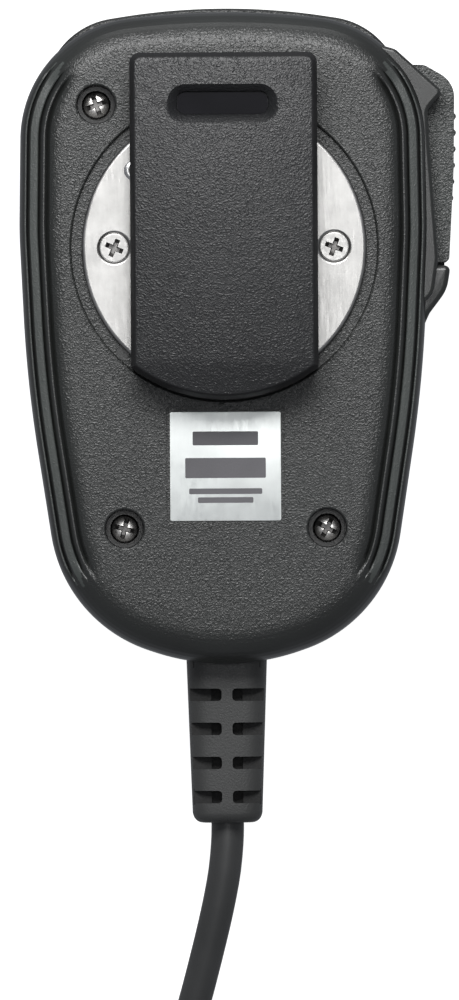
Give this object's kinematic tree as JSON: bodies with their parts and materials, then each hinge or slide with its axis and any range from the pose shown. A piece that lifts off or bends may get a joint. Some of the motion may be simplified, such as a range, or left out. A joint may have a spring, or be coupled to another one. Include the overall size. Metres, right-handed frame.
{
  "type": "hand microphone",
  "caption": "Fist-held radio speaker microphone with a side push-to-talk bar, a steel back plate, a swivelling sprung belt clip and a curly cord with a modular plug.",
  "frame": {"origin": "point on the face of the front grille, below the centre that the belt clip swivels about; the microphone lies face down on it", "axes": "+Z out of the microphone's back, +Y towards its top end, away from the cord, +X towards the push-to-talk bar"},
  "size_m": [0.0765, 0.3298, 0.0394],
  "materials": {
    "shell_black": "fine grain",
    "ptt_black": "fine grain",
    "clip_black": "fine grain",
    "seal_rubber": "matte",
    "screw_steel": "bright",
    "brass": "knurled",
    "plate_steel": "brushed",
    "label_silver": "satin",
    "pin_steel": "polished",
    "cloth": "woven",
    "speaker_steel": "plated",
    "cone_paper": "paper",
    "capsule_can": "satin",
    "board_green": "solder mask",
    "part_plastic": "moulded",
    "header_plastic": "moulded",
    "wire_red": "insulated",
    "cord_black": "satin",
    "plug_clear": "clear plastic",
    "contact_gold": "gold plated"
  },
  "bodies": {
    "mic": {"rear_shell": "shell_black", "front_shell": "shell_black", "case_gasket": "seal_rubber", "case_screws": "screw_steel", "case_inserts": "brass", "retaining_plate": "plate_steel", "plate_screws": "screw_steel", "index_rivet": "plate_steel", "back_label": "label_silver", "detent_spring": "pin_steel", "grille_cloth": "cloth", "speaker_frame": "speaker_steel", "speaker_cone": "cone_paper", "speaker_magnet": "speaker_steel", "mic_capsule": "capsule_can", "mic_boot": "seal_rubber", "circuit_board": "board_green", "board_screws": "screw_steel", "ptt_switch": "part_plastic", "board_connector": "header_plastic", "inner_wires": "wire_red", "cable_clamp": "part_plastic", "clamp_screws": "screw_steel", "ptt_pin": "pin_steel", "ptt_spring": "pin_steel", "strain_relief": "cord_black", "inner_cable": "cord_black", "cord_lead": "cord_black", "curly_cord": "cord_black", "cord_tail": "cord_black", "plug_boot": "cord_black", "plug_body": "plug_clear", "plug_contacts": "contact_gold"},
    "clip_hub": {"swivel_hub": "clip_black", "hinge_pin": "pin_steel", "torsion_spring": "pin_steel"},
    "clip": {"clip_lever": "clip_black"},
    "button": {"ptt_button": "ptt_black"},
    "plunger": {"switch_plunger": "header_plastic"},
    "latch": {"plug_latch": "plug_clear"}
  },
  "joints": [
    {"name": "clip_swivel", "type": "hinge", "parent": "mic", "child": "clip_hub", "pos_m": [0, 0, 0.0285], "axis": [0, 0, 1], "continuous": true, "deforming": ["detent_spring"]},
    {"name": "clip_open", "type": "hinge", "parent": "clip_hub", "child": "clip", "pos_m": [0, 0, 0.033], "axis": [-1, 0, 0], "range_deg": [0, 12], "stiffness_Nm_per_rad": 0.25, "springref_deg": -20.05, "deforming": ["torsion_spring"]},
    {"name": "ptt_press", "type": "hinge", "parent": "mic", "child": "button", "pos_m": [0.0311, 0.0006, 0.014], "axis": [0, 0, 1], "range_deg": [0, 3], "stiffness_Nm_per_rad": 0.6, "springref_deg": -5.73, "deforming": ["ptt_spring"]},
    {"name": "switch_travel", "type": "slide", "parent": "mic", "child": "plunger", "axis": [-1, 0, 0], "range_m": [0, 0.0007]},
    {"name": "latch_flex", "type": "hinge", "parent": "mic", "child": "latch", "pos_m": [-0.004, -0.2, 0.0086], "axis": [-1, 0, 0], "range_deg": [0, 5], "stiffness_Nm_per_rad": 0.05}
  ],
  "couplings": [
    {"joint": "switch_travel", "follows": "ptt_press", "m_per_rad": 0.0124}
  ]
}
